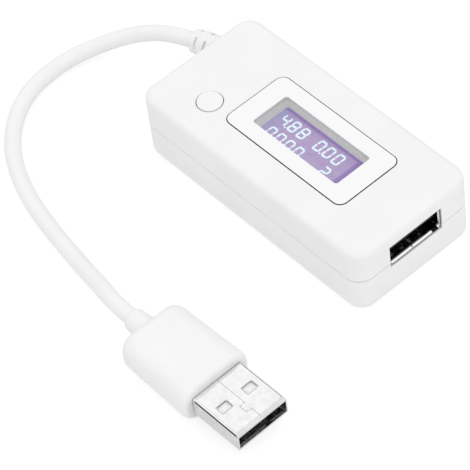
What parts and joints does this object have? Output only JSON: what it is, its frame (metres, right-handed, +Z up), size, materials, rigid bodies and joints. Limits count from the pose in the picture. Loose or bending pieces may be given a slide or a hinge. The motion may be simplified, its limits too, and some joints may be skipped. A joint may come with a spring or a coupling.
{
  "type": "usb power meter",
  "caption": "In-line USB voltage and current meter: slim two-shell housing with display, mode button and USB-A socket, and a short captive cable with a USB-A plug.",
  "frame": {"origin": "centre of the housing's bottom face", "axes": "+X along the housing towards the USB-A socket, +Y across it, away from the mode button, +Z up out of the display"},
  "size_m": [0.0997, 0.0691, 0.0159],
  "materials": {
    "white_shell": "fine satin texture",
    "white_bezel": "gloss",
    "clear_lens": "polished",
    "grey_foam": "fine open foam",
    "lcd_front": "polished",
    "lcd_rear": "polished",
    "light_guide": "frosted",
    "led": "moulded",
    "pin_metal": "tinned",
    "board": "solder mask",
    "button_white": "satin",
    "switch_black": "moulded",
    "plunger_black": "moulded",
    "socket_steel": "nickel plated",
    "socket_black": "moulded",
    "contact_gold": "gold flash",
    "chip_black": "moulded",
    "shunt_black": "moulded",
    "capacitor_tan": "fired",
    "boot_white": "satin",
    "cable_white": "satin",
    "wire_red": "extruded",
    "wire_white": "extruded",
    "wire_green": "extruded",
    "wire_black": "extruded",
    "solder": "bright",
    "mould_white": "satin",
    "plug_steel": "nickel plated",
    "insulator_white": "moulded"
  },
  "bodies": {
    "meter": {"top_cover": "white_shell", "bottom_cover": "white_shell", "display_bezel": "white_bezel", "display_lens": "clear_lens", "display_gasket": "grey_foam", "lcd_front_glass": "lcd_front", "lcd_rear_glass": "lcd_rear", "backlight_guide": "light_guide", "backlight_led": "led", "lcd_pins": "pin_metal", "main_board": "board", "controller_chip": "chip_black", "memory_chip": "chip_black", "chip_leads": "pin_metal", "shunt_resistor": "shunt_black", "regulator": "chip_black", "capacitors": "capacitor_tan", "resistors": "chip_black", "switch_body": "switch_black", "switch_legs": "pin_metal", "usb_socket_shell": "socket_steel", "usb_socket_insulator": "socket_black", "usb_socket_contacts": "contact_gold", "plug_shell": "plug_steel", "plug_insulator": "insulator_white", "plug_contacts": "contact_gold", "plug_overmould": "mould_white", "cable_boot": "boot_white", "cable_jacket_end": "cable_white", "usb_cable": "cable_white", "wire_red": "wire_red", "wire_white": "wire_white", "wire_green": "wire_green", "wire_black": "wire_black", "solder_joints": "solder"},
    "button": {"mode_button": "button_white", "switch_plunger": "plunger_black"}
  },
  "joints": [
    {"name": "button_press", "type": "slide", "parent": "meter", "child": "button", "axis": [0, 0, -1], "range_m": [0, 0.0003], "stiffness_N_per_m": 1500, "springref_m": -0.0002}
  ]
}
